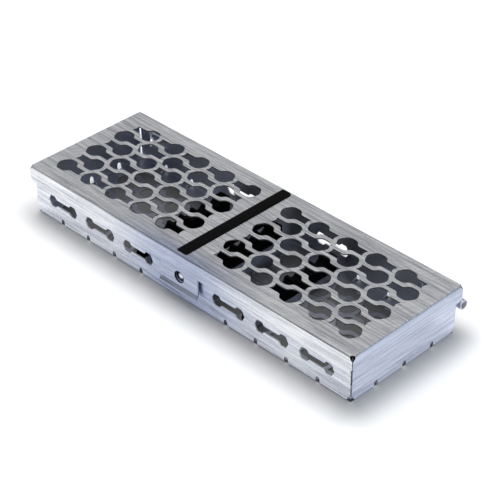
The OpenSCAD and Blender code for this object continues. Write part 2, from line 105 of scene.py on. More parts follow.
class CassetteSheetSettings(bpy.types.PropertyGroup):
    """Finish of the folded sheets and the steel fittings"""
    lid_colour: colour("Lid colour", (0.88, 0.895, 0.975), "Colour of the lid's brushed steel")
    tray_colour: colour("Tray colour", (0.84, 0.865, 1.0), "Colour of the tray's brushed steel")
    # Painted shade: the ends of the lid and the tray are multiplied darker and bluer
    lid_end_painted_shade: colour(
        "Lid end tone", (0.62, 0.69, 0.87), "What the lid's colour is multiplied by at the ends")
    tray_end_painted_shade: colour(
        "Tray end tone", (0.80, 0.83, 0.945), "What the tray's colour is multiplied by at the ends")
    # Partly the mill's dull finish and partly painted shade: the inner faces are darker than the
    # outside
    inside_dull_and_shade_colour: colour(
        "Inside colour", (0.56, 0.58, 0.66), "Colour of the sheets' dull inner faces")
    # Cut edges: painted shade on the lid's and a painted highlight on the tray's
    lid_cut_painted_shade: colour(
        "Lid cut colour", (0.16, 0.16, 0.17), "Colour of the edges cut through the lid")
    tray_cut_painted_highlight: colour(
        "Tray cut colour", (0.9, 0.9, 0.92), "Colour of the edges cut through the tray")
    # Painted shade in the crevices under the lid's corners and round the stud
    crevice_shade_colour: colour(
        "Crevice colour", (0.012, 0.012, 0.014),
        "Colour of the crevices under the lid's corners and round the stud")
    underside_tone: colour(
        "Underside tone", (0.62, 0.64, 0.70),
        "What the colour of a face that looks down is multiplied by")
    # Painted shade: multiplies the steel darker and bluer round the latch
    latch_shade_tone: colour(
        "Handled tone", (0.56, 0.61, 0.76),
        "What the colour is multiplied by where the latch is handled")
    fitting_colour: colour(
        "Fitting colour", (0.74, 0.745, 0.77), "Colour of the pins, rivets and stud")
    cut_scatter: share(
        "Cut scatter", 0.8, "How far a cut edge scatters light instead of mirroring it")
    roughness: share("Roughness", 0.29, "Mean roughness of the brushed faces")
    anisotropy: share("Anisotropy", 0.4, "How far the brushing stretches the reflections")
    grain_length: length("Grain length", 24, "Length of one brushed streak")
    grain_width: length("Grain width", 0.6, "Width of one brushed streak")
    grain_contrast: share("Grain contrast", 0.66, "Lightness difference between streaks")
    edge_round: length("Edge round", 0.15, "Rounding of the deburred edges")


class CassetteSiliconeSettings(bpy.types.PropertyGroup):
    """Shape and finish of the silicone pieces"""
    silicone_colour: colour(
        "Silicone colour", (0.004, 0.004, 0.004), "Colour of the black silicone")
    dust_colour: colour(
        "Dust colour", (0.16, 0.16, 0.165), "Colour of the fine dust that silicone holds")
    roughness: share("Roughness", 0.62, "Roughness of the moulded faces")
    edge_round: length("Edge round", 0.5, "Rounding of the moulded edges")
    notch_radius: length("Notch radius", 3.6, "Radius of the notches that hold the instruments")
    notch_pitch: length("Notch pitch", 9.8, "Spacing of the notches")
    crest_round: length("Crest round", 0.7, "Rounding between two notches")


class CassetteStageSettings(bpy.types.PropertyGroup):
    """Floor, lamps and camera"""
    floor_colour: colour("Floor colour", (0.93, 0.93, 0.93), "Colour of the floor")
    # Painted shadow of the floor under the case
    covered_shadow_colour: colour(
        "Covered colour", (0.20, 0.20, 0.205), "Colour of the floor under the case")
    floor_glow: share("Floor glow", 0.38, "What is added to the floor where it is seen")
    # Painted reflection: glow that only the steel's reflections see
    mirror_glow: share("Mirror glow", 0.39, "What is added to the floor where the steel mirrors it")
    # Reach of the painted shadow round the case, made by the fade of the glow
    glow_reach: length("Glow reach", 26, "Distance from the case at which the glow is full")
    world_low: share("Horizon light", 0.70, "Strength of the surroundings near the horizon")
    world_high: share("Overhead light", 0.40, "Strength of the surroundings overhead")


# --------------------------------------------------------------------------- node helpers

def link_or_set(tree, socket, value):
    """Links a socket to value, or sets value on it where it is a plain value."""
    if isinstance(value, bpy.types.NodeSocket):
        tree.links.new(value, socket)
    elif isinstance(value, tuple) and socket.type == "RGBA" and len(value) == 3:
        socket.default_value = (*value, 1.0)
    else:
        socket.default_value = value


def put(tree, kind, inputs=None, **settings):
    """Adds a node of a kind to a tree, with settings and with inputs by name or by number."""
    node = tree.nodes.new(kind)
    for name, value in settings.items():
        setattr(node, name, value)
    for name, value in (inputs or {}).items():
        link_or_set(tree, node.inputs[name], value)
    return node


def calc(tree, operation, *values):
    """Value of a Math node."""
    node = put(tree, "ShaderNodeMath", dict(enumerate(values)), operation=operation)
    return node.outputs[0]


def vector_calc(tree, operation, *values):
    """Vector of a Vector Math node."""
    node = put(tree, "ShaderNodeVectorMath", dict(enumerate(values)), operation=operation)
    return node.outputs["Vector"]


def remap(tree, value, low, high, to_low=0.0, to_high=1.0):
    """Value brought from one range to another and kept in it, with soft ends."""
    node = put(tree, "ShaderNodeMapRange", {
        "Value": value, "From Min": low, "From Max": high, "To Min": to_low, "To Max": to_high,
    }, interpolation_type="SMOOTHSTEP")
    return node.outputs["Result"]


def mix_colour(tree, factor, first, second, blend="MIX"):
    """Colour between two colours."""
    node = put(tree, "ShaderNodeMix", data_type="RGBA", blend_type=blend)
    for socket, value in zip(
            (s for s in node.inputs if s.enabled), (factor, first, second), strict=False):
        link_or_set(tree, socket, value)
    return next(s for s in node.outputs if s.enabled)


def noise_value(tree, vector, scale, detail=2.0, roughness=0.5):
    """Value of a Noise texture."""
    node = put(tree, "ShaderNodeTexNoise", {
        "Vector": vector, "Scale": scale, "Detail": detail, "Roughness": roughness})
    return node.outputs["Fac"]


def weighted_sum(tree, first, first_weight, second, second_weight):
    """Sum of two values, each times its weight."""
    return calc(
        tree, "ADD", calc(tree, "MULTIPLY", first, first_weight),
        calc(tree, "MULTIPLY", second, second_weight))


def place_axes(tree):
    """X, Y and Z of the place on the object."""
    place = put(tree, "ShaderNodeTexCoord").outputs["Object"]
    return put(tree, "ShaderNodeSeparateXYZ", {0: place}).outputs


def facing_axes(tree):
    """X, Y and Z of the direction in which a face looks."""
    facing = put(tree, "ShaderNodeTexCoord").outputs["Normal"]
    return put(tree, "ShaderNodeSeparateXYZ", {0: facing}).outputs


def end_wall_mask(tree):
    """1 on the end walls."""
    return calc(tree, "GREATER_THAN", calc(tree, "ABSOLUTE", facing_axes(tree)["X"]), END_FACING)


def rare_marks(tree, value, rarity, softness):
    """1 where a value is above rarity, with an edge as wide as softness."""
    edge = calc(tree, "ADD", rarity, softness)
    node = put(tree, "ShaderNodeMapRange", {
        "Value": value, "From Min": rarity, "From Max": edge})
    return node.outputs["Result"]


def shaded(face_colour, factor):
    """A colour made lighter or darker, with no channel above 1."""
    return tuple(min(1.0, channel * factor) for channel in face_colour)


def new_group(name, inputs, outputs):
    """Empty node group and its input and output nodes; inputs are (name, socket type, default)."""
    group = bpy.data.node_groups.new(name, "ShaderNodeTree")
    for label, kind, default in inputs:
        socket = group.interface.new_socket(label, in_out="INPUT", socket_type=kind)
        socket.default_value = default
    for label, kind in outputs:
        group.interface.new_socket(label, in_out="OUTPUT", socket_type=kind)
    return group, group.nodes.new("NodeGroupInput"), group.nodes.new("NodeGroupOutput")


def group_node(tree, group, **inputs):
    """A group placed in a material, with its inputs by name, where _ stands for a space."""
    node = tree.nodes.new("ShaderNodeGroup")
    node.node_tree = group
    for name, value in inputs.items():
        link_or_set(tree, node.inputs[name.replace("_", " ")], value)
    return node


# --------------------------------------------------------------------------- shared effects

def make_grain_group():
    """Brushed streaks that run along the case, and along the width on the end walls."""
    group, given, out = new_group(
        "Brushed grain",
        [("Streak length", "NodeSocketFloat", 26 * MM),
         ("Streak width", "NodeSocketFloat", 0.5 * MM), ("Tilt", "NodeSocketFloat", 0.0)],
        [("Streaks", "NodeSocketFloat"), ("Height", "NodeSocketFloat")])
    across = calc(group, "DIVIDE", 1.0, given.outputs["Streak width"])
    along = calc(group, "DIVIDE", 1.0, given.outputs["Streak length"])
    is_end = end_wall_mask(group)
    point = place_axes(group)
    # On the end walls X and Y trade places, so that the streaks follow the width
    run = put(group, "ShaderNodeMix", {0: is_end}, data_type="FLOAT")
    side = put(group, "ShaderNodeMix", {0: is_end}, data_type="FLOAT")
    for node, first, second in ((run, "X", "Y"), (side, "Y", "X")):
        link_or_set(group, node.inputs[2], point[first])
        link_or_set(group, node.inputs[3], point[second])
    # A slight tilt lets the streaks of two layers cross
    drift = calc(group, "MULTIPLY", run.outputs[0], given.outputs["Tilt"])
    side_place = calc(group, "ADD", side.outputs[0], drift)
    up_place = calc(group, "ADD", point["Z"], drift)
    streak_place = put(group, "ShaderNodeCombineXYZ", {
        "X": calc(group, "MULTIPLY", run.outputs[0], along),
        "Y": calc(group, "MULTIPLY", side_place, across),
        "Z": calc(group, "MULTIPLY", up_place, across)}).outputs[0]
    fine = noise_value(group, streak_place, 1.0, 3.0, 0.62)
    # Broader streaks, which still show from a step away
    broad_place = vector_calc(group, "MULTIPLY", streak_place, (0.45, 0.42, 0.42))
    broad = noise_value(group, broad_place, 1.0, 2.0, 0.55)
    mixed = weighted_sum(group, fine, 0.45, broad, 0.55)
    link_or_set(group, out.inputs["Streaks"], remap(group, mixed, 0.38, 0.62))
    link_or_set(group, out.inputs["Height"], fine)
    return group


def make_scratch_group():
    """Sparse thin scratches, each short and straight, that cross the grain at an angle."""
    group, given, out = new_group(
        "Fine scratches",
        [("Direction", "NodeSocketFloat", 0.2), ("Width", "NodeSocketFloat", 0.4 * MM),
         ("Rarity", "NodeSocketFloat", 0.66)],
        [("Scratches", "NodeSocketFloat")])
    place = put(group, "ShaderNodeTexCoord")
    turned = put(group, "ShaderNodeVectorRotate", {
        "Vector": place.outputs["Object"], "Angle": given.outputs["Direction"]},
        rotation_type="Z_AXIS").outputs[0]
    across = calc(group, "DIVIDE", 1.0, given.outputs["Width"])
    width_to_length = 0.022
    stretch = put(group, "ShaderNodeCombineXYZ", {
        "X": calc(group, "MULTIPLY", across, width_to_length), "Y": across, "Z": across}).outputs[0]
    streak = noise_value(group, vector_calc(group, "MULTIPLY", turned, stretch), 1.0, 1.0, 0.4)
    scratches = rare_marks(group, streak, given.outputs["Rarity"], 0.05)
    link_or_set(group, out.inputs["Scratches"], scratches)
    return group


def make_wear_group():
    """Deburred edges: a rounded normal near each edge, and a mask of the rubbed edge in patches."""
    group, given, out = new_group(
        "Edge wear",
        [("Radius", "NodeSocketFloat", 0.15 * MM), ("Amount", "NodeSocketFloat", 1.0),
         ("Patchiness", "NodeSocketFloat", 0.5)],
        [("Edges", "NodeSocketFloat"), ("Normal", "NodeSocketVector")])
    place = put(group, "ShaderNodeTexCoord")
    rounded = put(group, "ShaderNodeBevel", {"Radius": given.outputs["Radius"]}, samples=6)
    plain = put(group, "ShaderNodeNewGeometry").outputs["Normal"]
    alike = put(
        group, "ShaderNodeVectorMath", {0: rounded.outputs[0], 1: plain}, operation="DOT_PRODUCT")
    turned = calc(group, "SUBTRACT", 1.0, alike.outputs["Value"])
    patches_per_metre = 160.0
    patches = noise_value(group, place.outputs["Object"], patches_per_metre, 3.0, 0.6)
    lost = calc(group, "MULTIPLY", patches, given.outputs["Patchiness"])
    kept = calc(group, "SUBTRACT", 1.0, lost)
    edges = calc(group, "MULTIPLY", remap(group, turned, 0.01, 0.2), kept)
    link_or_set(group, out.inputs["Edges"], calc(group, "MULTIPLY", edges, given.outputs["Amount"]))
    link_or_set(group, out.inputs["Normal"], rounded.outputs[0])
    return group


def make_cut_group():
    """Masks of the faces cut through a sheet: through a flat panel, and through the long walls."""
    group, given, out = new_group(
        "Cut edges",
        [("Panel low", "NodeSocketFloat", 0.0), ("Panel high", "NodeSocketFloat", MM),
         ("Panel half length", "NodeSocketFloat", 130 * MM),
         ("Panel half width", "NodeSocketFloat", 40 * MM),
         ("Wall low", "NodeSocketFloat", 10 * MM), ("Wall high", "NodeSocketFloat", 20 * MM),
         ("Wall half length", "NodeSocketFloat", 120 * MM)],
        [("Cuts", "NodeSocketFloat")])
    point, facing = place_axes(group), facing_axes(group)

    def cut_faces(axis, low, high):
        """1 on faces between two heights that don't look along an axis."""
        height = point["Z"]
        tests = [
            calc(group, "LESS_THAN", calc(group, "ABSOLUTE", facing[axis]), CUT_FACING),
            calc(group, "GREATER_THAN", height, given.outputs[low]),
            calc(group, "LESS_THAN", height, given.outputs[high])]
        return calc(group, "MULTIPLY", tests[0], calc(group, "MULTIPLY", tests[1], tests[2]))

    def within(mask, value, test, limit):
        """Part of a mask where a value passes a test against a limit."""
        return calc(group, "MULTIPLY", mask, calc(group, test, value, given.outputs[limit]))

    x, y = calc(group, "ABSOLUTE", point["X"]), calc(group, "ABSOLUTE", point["Y"])
    panel = cut_faces("Z", "Panel low", "Panel high")
    panel = within(panel, x, "LESS_THAN", "Panel half length")
    panel = within(panel, y, "LESS_THAN", "Panel half width")
    wall = cut_faces("Y", "Wall low", "Wall high")
    wall = within(wall, x, "LESS_THAN", "Wall half length")
    wall = within(wall, y, "GREATER_THAN", "Panel half width")
    link_or_set(group, out.inputs["Cuts"], calc(group, "MAXIMUM", panel, wall))
    return group


def make_smudge_group():
    """Soft cloudy patches from handling, and fine specks of dust."""
    group, given, out = new_group(
        "Smudges and dust",
        [("Patch size", "NodeSocketFloat", 30 * MM), ("Dust size", "NodeSocketFloat", 0.6 * MM),
         ("Dust rarity", "NodeSocketFloat", 0.74)],
        [("Smudges", "NodeSocketFloat"), ("Dust", "NodeSocketFloat")])
    place = put(group, "ShaderNodeTexCoord").outputs["Object"]
    patch = calc(group, "DIVIDE", 1.0, given.outputs["Patch size"])
    clouds = noise_value(group, place, patch, 3.0, 0.55)
    link_or_set(group, out.inputs["Smudges"], remap(group, clouds, 0.36, 0.68))
    grain = calc(group, "DIVIDE", 1.0, given.outputs["Dust size"])
    specks = noise_value(group, place, grain, 2.0, 0.7)
    dust = rare_marks(group, specks, given.outputs["Dust rarity"], 0.06)
    link_or_set(group, out.inputs["Dust"], dust)
    return group


GROUP_MAKERS = {
    "Brushed grain": make_grain_group,
    "Fine scratches": make_scratch_group,
    "Edge wear": make_wear_group,
    "Cut edges": make_cut_group,
    "Smudges and dust": make_smudge_group,
}


def shared_group(name):
    """The effect of that name, built once."""
    return bpy.data.node_groups.get(name) or GROUP_MAKERS[name]()


# --------------------------------------------------------------------------- materials

def new_material(name):
    """Empty material with a Principled BSDF that feeds its output."""
    material = bpy.data.materials.new(name)
    material.use_nodes = True
    tree = material.node_tree
    tree.nodes.clear()
    shader = tree.nodes.new("ShaderNodeBsdfPrincipled")
    out = tree.nodes.new("ShaderNodeOutputMaterial")
    tree.links.new(shader.outputs["BSDF"], out.inputs["Surface"])
    return material, tree, shader


def brushed_steel(
        name, face_colour, end_painted_shade, cut_painted_light, settings, inner_box, cut_zone, crevice_shades, bore):
    """Brushed stainless steel: two crossing layers of streaks, scratches, worn edges, smudges.

    The end walls are brushed across, and end_painted_shade multiplies their colour darker and
    bluer as painted shade. The faces inside inner_box keep the mill's dull finish, darkened
    further as painted shade. cut_zone gives the places of the panel and the walls whose holes
    have edges of cut_painted_light, painted shade on the lid and a painted highlight on the
    tray, crevice_shades the places of the painted shade in the corners and the ring round the
    stud, and bore the line and radius of the hinge's bores, which get a painted light colour.
    """
    material, tree, shader = new_material(name)
    grain = group_node(
        tree, shared_group("Brushed grain"), Streak_length=settings.grain_length,
        Streak_width=settings.grain_width, Tilt=0.0)
    # The second layer's streaks are shorter and wider
    shorter, wider = 0.62, 1.3
    crossing = group_node(
        tree, shared_group("Brushed grain"), Streak_length=settings.grain_length * shorter,
        Streak_width=settings.grain_width * wider, Tilt=0.04)
    scratches = group_node(
        tree, shared_group("Fine scratches"), Direction=0.17, Width=0.42 * MM,
        Rarity=0.62).outputs["Scratches"]
    nicks = group_node(
        tree, shared_group("Fine scratches"), Direction=-0.95, Width=0.36 * MM,
        Rarity=0.54).outputs["Scratches"]
    wear = group_node(
        tree, shared_group("Edge wear"), Radius=settings.edge_round, Amount=1.0, Patchiness=0.35)
    cuts = group_node(tree, shared_group("Cut edges"), **cut_zone).outputs["Cuts"]
    smudges = group_node(
        tree, shared_group("Smudges and dust"), Patch_size=42 * MM, Dust_size=0.8 * MM,
        Dust_rarity=0.72).outputs["Smudges"]
    inside = inside_mask(tree, *inner_box)

    streaks = weighted_sum(
        tree, grain.outputs["Streaks"], 0.65, crossing.outputs["Streaks"], 0.35)
    contrast = settings.grain_contrast
    base = mix_colour(
        tree, streaks, shaded(face_colour, 1 - contrast * DARKER_SHARE),
        shaded(face_colour, 1 + contrast * LIGHTER_SHARE))
    direction, is_end = brushing_direction(tree)
    # Painted shade: the end walls are made darker and bluer
    base = mix_colour(tree, is_end, base, end_painted_shade, blend="MULTIPLY")
    marks = [
        # mask, how much of it shows, what the face's colour is multiplied by there
        (smudges, 0.16, 0.78),
        (scratches, 0.42, 1.35),
        (nicks, 0.5, 0.6),
        (wear.outputs["Edges"], 0.6, 1.3),
    ]
    for mask, amount, shade in marks:
        base = mix_colour(
            tree, calc(tree, "MULTIPLY", mask, amount), base, shaded(face_colour, shade))
    # Painted shade round the latch
    base = mix_colour(
        tree, latch_shade_mask(tree), base, tuple(settings.latch_shade_tone), blend="MULTIPLY")
    # Inner faces: the mill's dull finish, darkened as painted shade of the interior
    dull_and_shaded = mix_colour(
        tree, calc(tree, "MULTIPLY", smudges, 0.35), tuple(settings.inside_dull_and_shade_colour),
        shaded(settings.inside_dull_and_shade_colour, 1.5))
    base = mix_colour(tree, inside, base, dull_and_shaded)
    # Hole edges: painted shade on the lid, painted highlight on the tray
    base = mix_colour(
        tree, cuts, base, mix_colour(tree, streaks, shaded(cut_painted_light, 0.7), cut_painted_light))
    # Painted shade in the crevices, and a painted light colour in the bores of the knuckles
    base = mix_colour(tree, crevice_shade_mask(tree, *crevice_shades), base, tuple(settings.crevice_shade_colour))
    # Painted light: the bores of the knuckles get the tray's light cut colour
    painted_light_bores = near_line(tree, "X", *bore)
    base = mix_colour(tree, painted_light_bores, base, tuple(settings.tray_cut_painted_highlight))
    # A face that looks down shows less of the light
    base = mix_colour(
        tree, remap(tree, facing_axes(tree)["Z"], -0.12, -0.4), base,
        tuple(settings.underside_tone), blend="MULTIPLY")
    link_or_set(tree, shader.inputs["Base Color"], base)

    rough = calc(
        tree, "ADD", settings.roughness - STREAK_ROUGHNESS / 2,
        calc(tree, "MULTIPLY", streaks, STREAK_ROUGHNESS))
    for mask, added in ((smudges, 0.05), (inside, 0.14), (cuts, 0.15)):
        rough = calc(tree, "ADD", rough, calc(tree, "MULTIPLY", mask, added))
    link_or_set(tree, shader.inputs["Roughness"], rough)
    # A bare cut scatters light where a brushed face mirrors it
    scatter = calc(tree, "MULTIPLY", calc(tree, "MAXIMUM", cuts, painted_light_bores), settings.cut_scatter)
    link_or_set(tree, shader.inputs["Metallic"], calc(tree, "SUBTRACT", 1.0, scatter))
    shader.inputs["Anisotropic"].default_value = settings.anisotropy
    link_or_set(tree, shader.inputs["Tangent"], direction)
    height = weighted_sum(tree, grain.outputs["Height"], 0.7, crossing.outputs["Height"], 0.4)
    height = calc(tree, "SUBTRACT", height, calc(tree, "MULTIPLY", scratches, 0.3))
    bump = put(tree, "ShaderNodeBump", {
        "Strength": 0.16, "Distance": 0.12 * MM, "Height": height,
        "Normal": wear.outputs["Normal"]})
    link_or_set(tree, shader.inputs["Normal"], bump.outputs["Normal"])
    return material


def brushing_direction(tree):
    """Direction across the grain, in which brushing spreads a reflection, and the ends' mask."""
    up = facing_axes(tree)["Z"]
    is_end = end_wall_mask(tree)
    direction = put(tree, "ShaderNodeCombineXYZ", {
        "X": calc(tree, "MULTIPLY", is_end, up),
        "Y": calc(tree, "MULTIPLY", calc(tree, "SUBTRACT", 1.0, is_end), up),
        "Z": 1.0}).outputs[0]
    return direction, is_end


def inside_mask(tree, low, high):
    """1 on faces that lie within a box and 0 on those outside it."""
    point = place_axes(tree)
    within = None
    for axis, a, b in zip("XYZ", low, high):
        centre, half = (a + b) / 2, (b - a) / 2
        away = calc(tree, "ABSOLUTE", calc(tree, "SUBTRACT", point[axis], centre))
        test = calc(tree, "LESS_THAN", away, half)
        within = test if within is None else calc(tree, "MULTIPLY", within, test)
    return within


def latch_shade_mask(tree):
    """1 round the latch, where painted shade makes the steel darker and bluer, fading along the
    case and over the top.
    """
    point = place_axes(tree)
    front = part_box("lid_cover")[0].y
    reach, full, top_reach, top_full = 75 * MM, 8 * MM, 14 * MM, 1 * MM
    along = remap(tree, calc(tree, "ABSOLUTE", point["X"]), reach, full)
    over = remap(tree, point["Y"], front + top_reach, front + top_full)
    return calc(tree, "MULTIPLY", along, over)


def distance(tree, first, second):
    """Distance made of two offsets at right angles."""
    squares = [calc(tree, "POWER", value, 2.0) for value in (first, second)]
    return calc(tree, "SQRT", calc(tree, "ADD", *squares))


def near_line(tree, axis, first, second, radius):
    """1 within a radius of a line along an axis, which passes through two other coordinates."""
    point = place_axes(tree)
    sides = zip([name for name in "XYZ" if name != axis], (first, second))
    away = distance(tree, *(calc(tree, "SUBTRACT", point[name], centre) for name, centre in sides))
    return calc(tree, "LESS_THAN", away, radius)


def crevice_shade_mask(tree, corner_x, corner_y, corner_z, slant, ring_y, ring_z, ring_radius):
    """Painted shade: 1 in the four upper corners and in a ring round the stud on the latch side.

    In the corners it keeps to the faces that look along both X and Y by more than slant.
    """
    point, facing = place_axes(tree), facing_axes(tree)
    both = calc(tree, "ABSOLUTE", calc(tree, "MULTIPLY", facing["X"], facing["Y"]))
    corners = calc(tree, "GREATER_THAN", both, slant)
    for value, limit in (
            (calc(tree, "ABSOLUTE", point["X"]), corner_x),
            (calc(tree, "ABSOLUTE", point["Y"]), corner_y),
            (point["Z"], corner_z)):
        corners = calc(tree, "MULTIPLY", corners, calc(tree, "GREATER_THAN", value, limit))
    ring = calc(
        tree, "MULTIPLY", near_line(tree, "Y", 0.0, ring_z, ring_radius),
        calc(tree, "LESS_THAN", point["Y"], ring_y))
    return calc(tree, "MAXIMUM", corners, ring)


def turned_steel(name, face_colour):
    """Tumbled bright steel of the pins, rivets and stud."""
    material, tree, shader = new_material(name)
    wear = group_node(
        tree, shared_group("Edge wear"), Radius=0.12 * MM, Amount=0.8, Patchiness=0.6)
    smudges = group_node(
        tree, shared_group("Smudges and dust"), Patch_size=2.2 * MM, Dust_size=0.3 * MM,
        Dust_rarity=0.7).outputs["Smudges"]
    scratches = group_node(
        tree, shared_group("Fine scratches"), Direction=0.9, Width=0.16 * MM,
        Rarity=0.6).outputs["Scratches"]
    base = mix_colour(
        tree, calc(tree, "MULTIPLY", smudges, 0.5), face_colour, shaded(face_colour, 0.8))
    base = mix_colour(tree, wear.outputs["Edges"], base, shaded(face_colour, 1.2))
    # The foot of the stud's dome lies in the shadow of the tongue's hole
    stud = sum(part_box("latch_stud"), Vector()) / 2
    foot_inner, foot_outer, foot_colour = 1.9 * MM, 3.0 * MM, (0.02, 0.02, 0.022)
    foot = calc(
        tree, "MULTIPLY", near_line(tree, "Y", 0.0, stud.z, foot_outer),
        calc(tree, "SUBTRACT", 1.0, near_line(tree, "Y", 0.0, stud.z, foot_inner)))
    base = mix_colour(tree, calc(tree, "MULTIPLY", foot, 0.9), base, foot_colour)
    link_or_set(tree, shader.inputs["Base Color"], base)
    rough = 0.2
    for mask in (smudges, scratches):
        rough = calc(tree, "ADD", rough, calc(tree, "MULTIPLY", mask, 0.12))
    link_or_set(tree, shader.inputs["Roughness"], rough)
    shader.inputs["Metallic"].default_value = 1.0
    bump = put(tree, "ShaderNodeBump", {
        "Strength": 0.12, "Distance": 0.05 * MM, "Height": scratches})
    link_or_set(tree, shader.inputs["Normal"], bump.outputs["Normal"])
    return material


def black_silicone(name, settings):
    """Matt black silicone with a fine moulded texture and a little dust."""
    material, tree, shader = new_material(name)
    face, dust = tuple(settings.silicone_colour), tuple(settings.dust_colour)
    smudges = group_node(
        tree, shared_group("Smudges and dust"), Patch_size=12 * MM, Dust_size=0.35 * MM,
        Dust_rarity=0.70)
    wear = group_node(
        tree, shared_group("Edge wear"), Radius=0.2 * MM, Amount=1.0, Patchiness=0.6)
    base = mix_colour(
        tree, calc(tree, "MULTIPLY", smudges.outputs["Smudges"], 0.4), face, shaded(face, 1.5))
    for mask in (smudges.outputs["Dust"], wear.outputs["Edges"]):
        base = mix_colour(tree, calc(tree, "MULTIPLY", mask, 0.03), base, dust)
    link_or_set(tree, shader.inputs["Base Color"], base)
    rough = calc(
        tree, "ADD", settings.roughness,
        calc(tree, "MULTIPLY", smudges.outputs["Smudges"], 0.12))
    link_or_set(tree, shader.inputs["Roughness"], rough)
    shader.inputs["Specular IOR Level"].default_value = 0.03
    place = put(tree, "ShaderNodeTexCoord").outputs["Object"]
    pebbles_per_metre = 2600.0
    pebble = noise_value(tree, place, pebbles_per_metre)
    bump = put(tree, "ShaderNodeBump", {
        "Strength": 0.1, "Distance": 0.04 * MM, "Height": pebble})
    link_or_set(tree, shader.inputs["Normal"], bump.outputs["Normal"])
    return material


def give_material(nodes, material):
    """Puts one material on every slot of the CAD nodes."""
    for name in nodes:
        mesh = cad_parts[name].data
        if not mesh.materials:
            mesh.materials.append(material)
        for i in range(len(mesh.materials)):
            mesh.materials[i] = material


def add_bevel(piece, width, segments, sharp_angle):
    """Bevel modifier on the edges that turn by more than an angle in degrees."""
    bevel = piece.modifiers.new("rounded edges", "BEVEL")
    bevel.width = width
    bevel.segments = segments
    bevel.limit_method = "ANGLE"
    bevel.angle_limit = math.radians(sharp_angle)


def round_edges(nodes, width):
    """Deburrs the sharp edges of the CAD nodes with a narrow bevel."""
    flat_angle = math.radians(0.5)
    for name in nodes:
        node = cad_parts[name]
        flat = node.modifiers.new("flat faces", "DECIMATE")
        flat.decimate_type = "DISSOLVE"
        flat.angle_limit = flat_angle
        add_bevel(node, width, segments=2, sharp_angle=40)


# --------------------------------------------------------------------------- silicone meshes

def arc(centre, radius, start, stop, steps):
    """Points of an arc in a plane, with angles in degrees."""
    return [
        (centre[0] + radius * math.cos(math.radians(start + (stop - start) * i / steps)),
         centre[1] + radius * math.sin(math.radians(start + (stop - start) * i / steps)))
        for i in range(steps + 1)]


def support_outline(half_length, low, high, settings):
    """Side outline of a support: a flat foot and a notched upper edge with rounded crests."""
    r, pitch, crest = settings.notch_radius, settings.notch_pitch, settings.crest_round
    end_round, round_steps, notch_steps = 1.2 * MM, 4, 12
    slack = 1e-6
    count = int((2 * half_length - 2 * r) / pitch + slack)
    # The crest's round touches the upper edge and the notch
    shift = math.sqrt((r + crest) ** 2 - crest ** 2)
    turn = math.degrees(math.asin(crest / (r + crest)))
    points = [(-half_length, low), (half_length, low)]
    points += arc((half_length - end_round, high - end_round), end_round, 0, 90, round_steps)
    for i in reversed(range(count)):
        y = (i - (count - 1) / 2) * pitch
        points += arc((y + shift, high - crest), crest, 90, 180 + turn, round_steps)
        points += arc((y, high), r, -turn, turn - 180, notch_steps)[1:-1]
        points += arc((y - shift, high - crest), crest, -turn, 90, round_steps)
    points += arc((end_round - half_length, high - end_round), end_round, 90, 180, round_steps)
    return points


def bar_ring(z, half_width, front, back, front_round, right_round, left_round, steps=6):
    """Ring of points round the lid bar at one height; its two back corners differ."""
    corners = [
        (half_width - front_round, front + front_round, front_round, -90),
        (half_width - right_round, back - right_round, right_round, 0),
        (left_round - half_width, back - left_round, left_round, 90),
        (front_round - half_width, front + front_round, front_round, 180)]
    return [
        (x, y, z) for cx, cy, r, start in corners
        for x, y in arc((cx, cy), r, start, start + 90, steps)]


def lofted(name, rings):
    """Closed mesh object through rings of points, with flat ends."""
    mesh = bpy.data.meshes.new(name)
    work = bmesh.new()
    rows = [[work.verts.new(point) for point in ring] for ring in rings]
    for lower, upper in zip(rows, rows[1:]):
        for i in range(len(lower)):
            j = (i + 1) % len(lower)
            work.faces.new((lower[i], lower[j], upper[j], upper[i]))
    work.faces.new(reversed(rows[0]))
    work.faces.new(rows[-1])
    bmesh.ops.recalc_face_normals(work, faces=work.faces)
    work.to_mesh(mesh)
    work.free()
    piece = bpy.data.objects.new(name, mesh)
    bpy.context.scene.collection.objects.link(piece)
    return piece


def apply_modifiers(piece):
    """Replaces the piece's mesh by what its modifiers make of it."""
    graph = bpy.context.evaluated_depsgraph_get()
    mesh = bpy.data.meshes.new_from_object(piece.evaluated_get(graph))
    piece.modifiers.clear()
    piece.data = mesh
    mesh.name = piece.name


def finish_piece(piece, material, body, node):
    """Material, smooth faces, body and replaced node of a new piece."""
    piece.data.materials.clear()
    piece.data.materials.append(material)
    piece.data.shade_smooth()
    piece.data.set_sharp_from_angle(angle=math.radians(SMOOTH_ANGLE))
    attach(piece, body)
    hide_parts(node)


# --------------------------------------------------------------------------- operators

